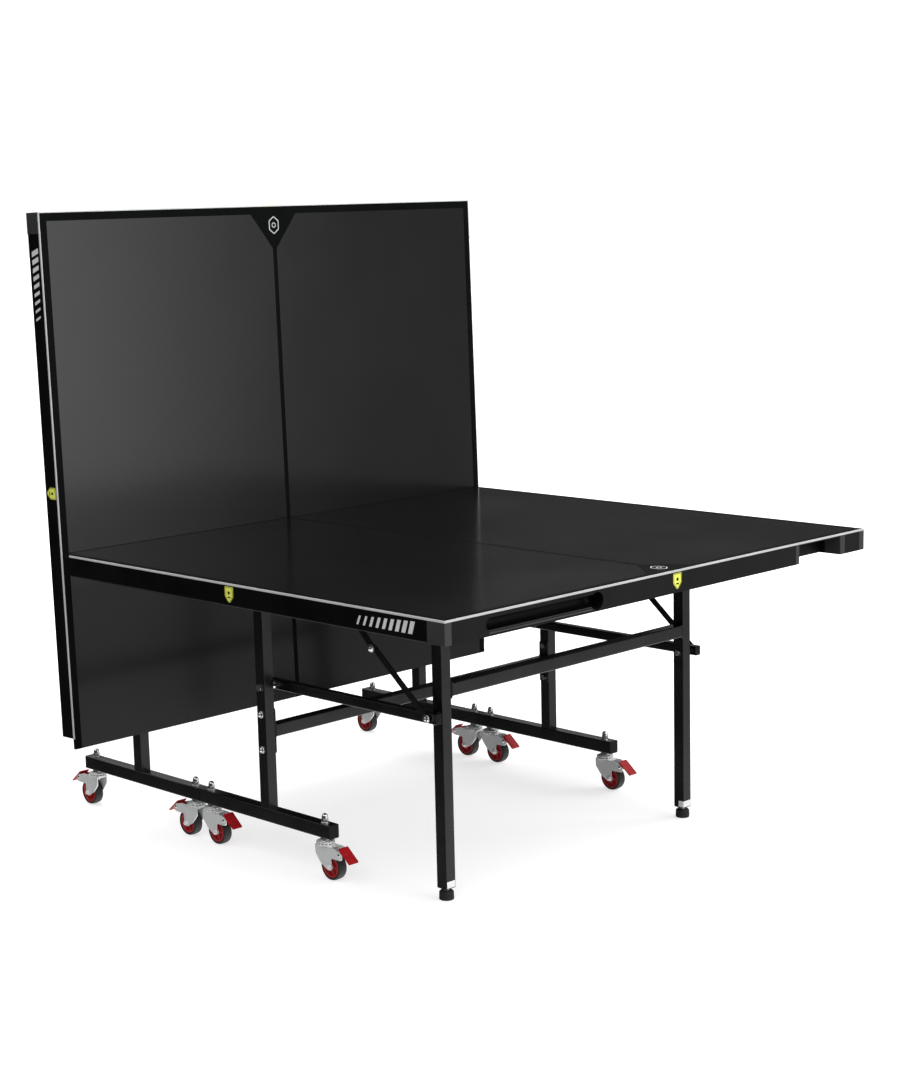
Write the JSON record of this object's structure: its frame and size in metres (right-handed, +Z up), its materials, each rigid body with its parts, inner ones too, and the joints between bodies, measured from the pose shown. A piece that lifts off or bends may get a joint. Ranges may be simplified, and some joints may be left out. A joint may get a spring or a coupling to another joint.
{
  "type": "ping pong table",
  "caption": "Folding ping pong table on rolling trolleys, near half flat for play and far half folded upright as a rebound board.",
  "frame": {"origin": "on the floor, under the middle of the whole table with its far half folded up", "axes": "+X from the net line towards the baseline of the flat half, +Y across the table, +Z up"},
  "size_m": [1.7144, 1.525, 1.6174],
  "materials": {
    "board": "charcoal playing coat, satin",
    "edge_white": "white edge band, satin",
    "line_dark": "near-black line paint, satin",
    "apron_black": "black powder coat, satin",
    "apron_plastic": "black moulded plastic, fine grain",
    "cap_grey": "dark grey moulded plastic",
    "frame_black": "black powder coat, satin",
    "zinc": "zinc plate",
    "hub_red": "red moulded hub",
    "tyre": "dark grey tread",
    "pedal_red": "red moulded pedal",
    "foot_rubber": "black ribbed rubber",
    "badge_green": "yellow-green badge",
    "label_white": "blank white label",
    "mark_silver": "pale grey print"
  },
  "bodies": {
    "near_trolley": {"near_base_rails": "frame_black", "near_posts": "frame_black", "near_post_crossbar": "frame_black", "near_trolley_bolts": "zinc"},
    "near_top": {"near_board": "board", "near_edge_band": "edge_white", "near_side_aprons": "apron_black", "near_end_apron": "apron_plastic", "near_apron_caps": "cap_grey", "near_board_frame": "frame_black"},
    "near_legs": {"near_legs": "frame_black", "near_leg_crossbar": "frame_black", "near_leg_bolts": "zinc"},
    "near_left_foot": {"near_left_foot": "foot_rubber"},
    "near_right_foot": {"near_right_foot": "foot_rubber"},
    "near_links": {"near_link_bars": "frame_black"},
    "near_upper_braces": {"near_brace_uppers": "frame_black"},
    "near_lower_braces": {"near_brace_lowers": "frame_black"},
    "near_inner_left_fork": {"near_inner_left_fork": "zinc"},
    "near_inner_left_wheel": {"near_inner_left_wheel": "hub_red"},
    "near_inner_left_pedal": {"near_inner_left_pedal": "pedal_red"},
    "near_inner_right_fork": {"near_inner_right_fork": "zinc"},
    "near_inner_right_wheel": {"near_inner_right_wheel": "hub_red"},
    "near_inner_right_pedal": {"near_inner_right_pedal": "pedal_red"},
    "near_outer_left_fork": {"near_outer_left_fork": "zinc"},
    "near_outer_left_wheel": {"near_outer_left_wheel": "hub_red"},
    "near_outer_left_pedal": {"near_outer_left_pedal": "pedal_red"},
    "near_outer_right_fork": {"near_outer_right_fork": "zinc"},
    "near_outer_right_wheel": {"near_outer_right_wheel": "hub_red"},
    "near_outer_right_pedal": {"near_outer_right_pedal": "pedal_red"},
    "far_trolley": {"far_base_rails": "frame_black", "far_posts": "frame_black", "far_post_crossbar": "frame_black", "far_trolley_bolts": "zinc"},
    "far_top": {"far_board": "board", "far_edge_band": "edge_white", "far_side_aprons": "apron_black", "far_end_apron": "apron_plastic", "far_apron_caps": "cap_grey", "far_board_frame": "frame_black"},
    "far_legs": {"far_legs": "frame_black", "far_leg_crossbar": "frame_black", "far_leg_bolts": "zinc"},
    "far_left_foot": {"far_left_foot": "foot_rubber"},
    "far_right_foot": {"far_right_foot": "foot_rubber"},
    "far_links": {"far_link_bars": "frame_black"},
    "far_upper_braces": {"far_brace_uppers": "frame_black"},
    "far_lower_braces": {"far_brace_lowers": "frame_black"},
    "far_inner_left_fork": {"far_inner_left_fork": "zinc"},
    "far_inner_left_wheel": {"far_inner_left_wheel": "hub_red"},
    "far_inner_left_pedal": {"far_inner_left_pedal": "pedal_red"},
    "far_inner_right_fork": {"far_inner_right_fork": "zinc"},
    "far_inner_right_wheel": {"far_inner_right_wheel": "hub_red"},
    "far_inner_right_pedal": {"far_inner_right_pedal": "pedal_red"},
    "far_outer_left_fork": {"far_outer_left_fork": "zinc"},
    "far_outer_left_wheel": {"far_outer_left_wheel": "hub_red"},
    "far_outer_left_pedal": {"far_outer_left_pedal": "pedal_red"},
    "far_outer_right_fork": {"far_outer_right_fork": "zinc"},
    "far_outer_right_wheel": {"far_outer_right_wheel": "hub_red"},
    "far_outer_right_pedal": {"far_outer_right_pedal": "pedal_red"}
  },
  "joints": [
    {"name": "near_fold", "type": "hinge", "parent": "near_trolley", "child": "near_top", "pos_m": [-0.02779, 0, 0.732], "axis": [0, -1, 0], "range_deg": [0, 88.7]},
    {"name": "near_leg_turn", "type": "hinge", "parent": "near_top", "child": "near_legs", "pos_m": [0.51421, 0, 0.732], "axis": [0, -1, 0], "range_deg": [-89.2, 0]},
    {"name": "near_link_turn", "type": "hinge", "parent": "near_trolley", "child": "near_links", "pos_m": [-0.02279, 0, 0.445], "axis": [0, -1, 0], "range_deg": [0, 89.2]},
    {"name": "near_upper_brace_turn", "type": "hinge", "parent": "near_top", "child": "near_upper_braces", "pos_m": [0.20421, 0, 0.732], "axis": [0, -1, 0], "range_deg": [-128.61, 0]},
    {"name": "near_lower_brace_turn", "type": "hinge", "parent": "near_legs", "child": "near_lower_braces", "pos_m": [0.51921, 0, 0.445], "axis": [0, -1, 0], "range_deg": [0, 132.4]},
    {"name": "near_left_foot_screw", "type": "slide", "parent": "near_legs", "child": "near_left_foot", "axis": [0, 0, -1], "range_m": [0, 0.015]},
    {"name": "near_right_foot_screw", "type": "slide", "parent": "near_legs", "child": "near_right_foot", "axis": [0, 0, -1], "range_m": [0, 0.015]},
    {"name": "near_inner_left_swivel", "type": "hinge", "parent": "near_trolley", "child": "near_inner_left_fork", "pos_m": [-0.25279, -0.52, 0.088], "axis": [0, 0, 1], "range_deg": [-90, 90]},
    {"name": "near_inner_left_roll", "type": "hinge", "parent": "near_inner_left_fork", "child": "near_inner_left_wheel", "pos_m": [-0.22479, -0.52, 0.0345], "axis": [0, 1, 0], "continuous": true},
    {"name": "near_inner_left_brake", "type": "hinge", "parent": "near_inner_left_fork", "child": "near_inner_left_pedal", "pos_m": [-0.18679, -0.52, 0.072], "axis": [0, 1, 0], "range_deg": [0, 18]},
    {"name": "near_inner_right_swivel", "type": "hinge", "parent": "near_trolley", "child": "near_inner_right_fork", "pos_m": [-0.25279, 0.52, 0.088], "axis": [0, 0, 1], "range_deg": [-90, 90]},
    {"name": "near_inner_right_roll", "type": "hinge", "parent": "near_inner_right_fork", "child": "near_inner_right_wheel", "pos_m": [-0.22479, 0.52, 0.0345], "axis": [0, 1, 0], "continuous": true},
    {"name": "near_inner_right_brake", "type": "hinge", "parent": "near_inner_right_fork", "child": "near_inner_right_pedal", "pos_m": [-0.18679, 0.52, 0.072], "axis": [0, 1, 0], "range_deg": [0, 18]},
    {"name": "near_outer_left_swivel", "type": "hinge", "parent": "near_trolley", "child": "near_outer_left_fork", "pos_m": [0.18521, -0.52, 0.088], "axis": [0, 0, 1], "continuous": true},
    {"name": "near_outer_left_roll", "type": "hinge", "parent": "near_outer_left_fork", "child": "near_outer_left_wheel", "pos_m": [0.21321, -0.52, 0.0345], "axis": [0, 1, 0], "continuous": true},
    {"name": "near_outer_left_brake", "type": "hinge", "parent": "near_outer_left_fork", "child": "near_outer_left_pedal", "pos_m": [0.25121, -0.52, 0.072], "axis": [0, 1, 0], "range_deg": [0, 18]},
    {"name": "near_outer_right_swivel", "type": "hinge", "parent": "near_trolley", "child": "near_outer_right_fork", "pos_m": [0.18521, 0.52, 0.088], "axis": [0, 0, 1], "continuous": true},
    {"name": "near_outer_right_roll", "type": "hinge", "parent": "near_outer_right_fork", "child": "near_outer_right_wheel", "pos_m": [0.21321, 0.52, 0.0345], "axis": [0, 1, 0], "continuous": true},
    {"name": "near_outer_right_brake", "type": "hinge", "parent": "near_outer_right_fork", "child": "near_outer_right_pedal", "pos_m": [0.25121, 0.52, 0.072], "axis": [0, 1, 0], "range_deg": [0, 18]},
    {"name": "far_roll_out", "type": "slide", "parent": "near_trolley", "child": "far_trolley", "axis": [-1, 0, 0], "range_m": [0, 0.47]},
    {"name": "far_fold", "type": "hinge", "parent": "far_trolley", "child": "far_top", "pos_m": [-0.54279, 0, 0.732], "axis": [0, -1, 0], "range_deg": [0, 88.7]},
    {"name": "far_leg_turn", "type": "hinge", "parent": "far_top", "child": "far_legs", "pos_m": [-0.55509, 0, 1.27386], "axis": [0, -1, 0], "range_deg": [-89.2, 0]},
    {"name": "far_link_turn", "type": "hinge", "parent": "far_trolley", "child": "far_links", "pos_m": [-0.54779, 0, 0.445], "axis": [0, -1, 0], "range_deg": [0, 89.2]},
    {"name": "far_upper_brace_turn", "type": "hinge", "parent": "far_top", "child": "far_upper_braces", "pos_m": [-0.54806, 0, 0.96394], "axis": [0, -1, 0], "range_deg": [-128.61, 0]},
    {"name": "far_lower_brace_turn", "type": "hinge", "parent": "far_legs", "child": "far_lower_braces", "pos_m": [-0.56009, 0, 0.98686], "axis": [0, -1, 0], "range_deg": [0, 132.4]},
    {"name": "far_left_foot_screw", "type": "slide", "parent": "far_legs", "child": "far_left_foot", "axis": [0, 0, -1], "range_m": [0, 0.015]},
    {"name": "far_right_foot_screw", "type": "slide", "parent": "far_legs", "child": "far_right_foot", "axis": [0, 0, -1], "range_m": [0, 0.015]},
    {"name": "far_inner_left_swivel", "type": "hinge", "parent": "far_trolley", "child": "far_inner_left_fork", "pos_m": [-0.31779, -0.52, 0.088], "axis": [0, 0, 1], "range_deg": [-90, 90]},
    {"name": "far_inner_left_roll", "type": "hinge", "parent": "far_inner_left_fork", "child": "far_inner_left_wheel", "pos_m": [-0.34579, -0.52, 0.0345], "axis": [0, 1, 0], "continuous": true},
    {"name": "far_inner_left_brake", "type": "hinge", "parent": "far_inner_left_fork", "child": "far_inner_left_pedal", "pos_m": [-0.38379, -0.52, 0.072], "axis": [0, -1, 0], "range_deg": [0, 18]},
    {"name": "far_inner_right_swivel", "type": "hinge", "parent": "far_trolley", "child": "far_inner_right_fork", "pos_m": [-0.31779, 0.52, 0.088], "axis": [0, 0, 1], "range_deg": [-90, 90]},
    {"name": "far_inner_right_roll", "type": "hinge", "parent": "far_inner_right_fork", "child": "far_inner_right_wheel", "pos_m": [-0.34579, 0.52, 0.0345], "axis": [0, 1, 0], "continuous": true},
    {"name": "far_inner_right_brake", "type": "hinge", "parent": "far_inner_right_fork", "child": "far_inner_right_pedal", "pos_m": [-0.38379, 0.52, 0.072], "axis": [0, -1, 0], "range_deg": [0, 18]},
    {"name": "far_outer_left_swivel", "type": "hinge", "parent": "far_trolley", "child": "far_outer_left_fork", "pos_m": [-0.75579, -0.52, 0.088], "axis": [0, 0, 1], "continuous": true},
    {"name": "far_outer_left_roll", "type": "hinge", "parent": "far_outer_left_fork", "child": "far_outer_left_wheel", "pos_m": [-0.78379, -0.52, 0.0345], "axis": [0, 1, 0], "continuous": true},
    {"name": "far_outer_left_brake", "type": "hinge", "parent": "far_outer_left_fork", "child": "far_outer_left_pedal", "pos_m": [-0.82179, -0.52, 0.072], "axis": [0, -1, 0], "range_deg": [0, 18]},
    {"name": "far_outer_right_swivel", "type": "hinge", "parent": "far_trolley", "child": "far_outer_right_fork", "pos_m": [-0.75579, 0.52, 0.088], "axis": [0, 0, 1], "continuous": true},
    {"name": "far_outer_right_roll", "type": "hinge", "parent": "far_outer_right_fork", "child": "far_outer_right_wheel", "pos_m": [-0.78379, 0.52, 0.0345], "axis": [0, 1, 0], "continuous": true},
    {"name": "far_outer_right_brake", "type": "hinge", "parent": "far_outer_right_fork", "child": "far_outer_right_pedal", "pos_m": [-0.82179, 0.52, 0.072], "axis": [0, -1, 0], "range_deg": [0, 18]}
  ],
  "couplings": [
    {"joint": "near_leg_turn", "follows": "near_fold", "ratio": -1},
    {"joint": "near_link_turn", "follows": "near_fold", "ratio": 1},
    {"joint": "near_upper_brace_turn", "follows": "near_fold", "ratio": -1.4443},
    {"joint": "near_lower_brace_turn", "follows": "near_fold", "ratio": 1.487},
    {"joint": "far_roll_out", "follows": "far_fold", "m_per_rad": 0.30037},
    {"joint": "far_leg_turn", "follows": "far_fold", "ratio": -1},
    {"joint": "far_link_turn", "follows": "far_fold", "ratio": 1},
    {"joint": "far_upper_brace_turn", "follows": "far_fold", "ratio": -1.4443},
    {"joint": "far_lower_brace_turn", "follows": "far_fold", "ratio": 1.487}
  ]
}
